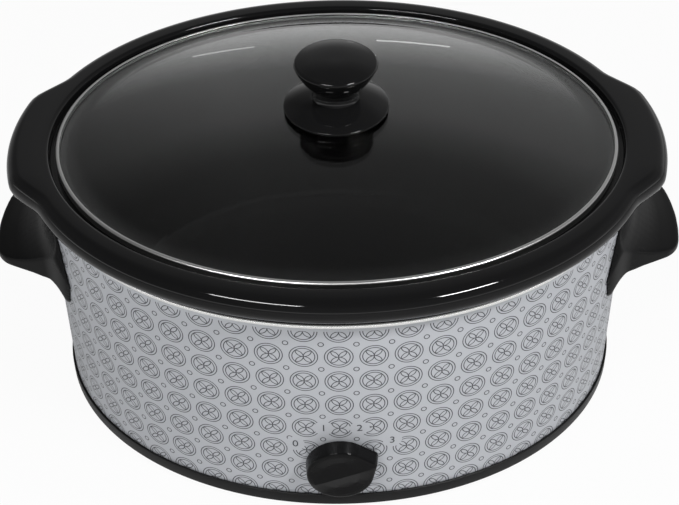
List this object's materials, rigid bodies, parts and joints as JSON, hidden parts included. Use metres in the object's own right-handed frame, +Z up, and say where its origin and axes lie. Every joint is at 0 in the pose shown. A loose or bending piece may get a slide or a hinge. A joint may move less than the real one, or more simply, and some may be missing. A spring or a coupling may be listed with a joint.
{
  "type": "slow cooker",
  "caption": "Oval slow cooker: glazed stoneware crock with a glass lid, standing in a heated steel base with side handles and a rotary switch.",
  "frame": {"origin": "middle of the object's box at table level, under the rubber feet", "axes": "+X along the oval, to the right as seen from the front, -Y out of the front where the control knob is, +Z up"},
  "size_m": [0.4304, 0.3152, 0.2297],
  "materials": {
    "crock_glaze": "black glaze on stoneware, high gloss",
    "lid_glass": "clear tempered glass",
    "bright_steel": "bright",
    "printed_wrap": "satin silver with a dark grey line print",
    "knob_black": "gloss black",
    "handle_black": "soft gloss black",
    "tray_black": "fine moulded texture",
    "plated_steel": "zinc plated",
    "heater_grey": "dull sheet over the heating wire",
    "insulation_white": "glass fibre mat",
    "brass": "plain",
    "seal_rubber": "soft",
    "block_white": "moulded",
    "wire_white": "glass sleeved wire"
  },
  "bodies": {
    "base": {"outer_wrap": "printed_wrap", "heating_well": "bright_steel", "heater_band": "heater_grey", "heater_clamp_bolt": "plated_steel", "heater_clamp_nut": "plated_steel", "heater_studs": "plated_steel", "insulation_wrap": "insulation_white", "heat_shield": "plated_steel", "well_posts": "plated_steel", "base_tray": "tray_black", "base_screws": "plated_steel", "side_handle_left": "handle_black", "side_handle_right": "handle_black", "handle_backing_left": "plated_steel", "handle_backing_right": "plated_steel", "handle_screws": "plated_steel", "switch_housing": "tray_black", "switch_cover_plate": "tray_black", "switch_tabs": "brass", "switch_nut": "plated_steel", "thermal_fuse": "plated_steel", "fuse_strap_clip": "plated_steel", "terminal_block": "block_white", "terminal_sleeves": "brass", "terminal_block_screw": "plated_steel", "wire_high": "wire_white", "wire_low": "wire_white", "wire_fused": "wire_white", "wire_supply": "wire_white", "wire_return": "wire_white", "cord_gland": "tray_black", "foot_back_left": "seal_rubber", "foot_back_right": "seal_rubber", "foot_front_left": "seal_rubber", "foot_front_right": "seal_rubber"},
    "crock": {"crock": "crock_glaze"},
    "lid": {"lid_glass": "lid_glass", "lid_rim_band": "bright_steel", "lid_knob": "knob_black", "lid_knob_skirt": "knob_black", "lid_knob_insert": "brass", "lid_knob_seal": "seal_rubber", "lid_under_seal": "seal_rubber", "lid_washer": "plated_steel", "lid_knob_screw": "plated_steel"},
    "control": {"control_knob": "knob_black", "knob_clip": "plated_steel", "switch_shaft": "plated_steel", "switch_rotor": "tray_black"}
  },
  "joints": [
    {"name": "crock_lift", "type": "slide", "parent": "base", "child": "crock", "axis": [0, 0, 1], "range_m": [0, 0.15]},
    {"name": "lid_lift", "type": "slide", "parent": "crock", "child": "lid", "axis": [0, 0, 1], "range_m": [0, 0.12]},
    {"name": "knob_turn", "type": "hinge", "parent": "base", "child": "control", "pos_m": [0, -0.15, 0.04], "axis": [0, -1, 0], "range_deg": [0, 135]}
  ]
}
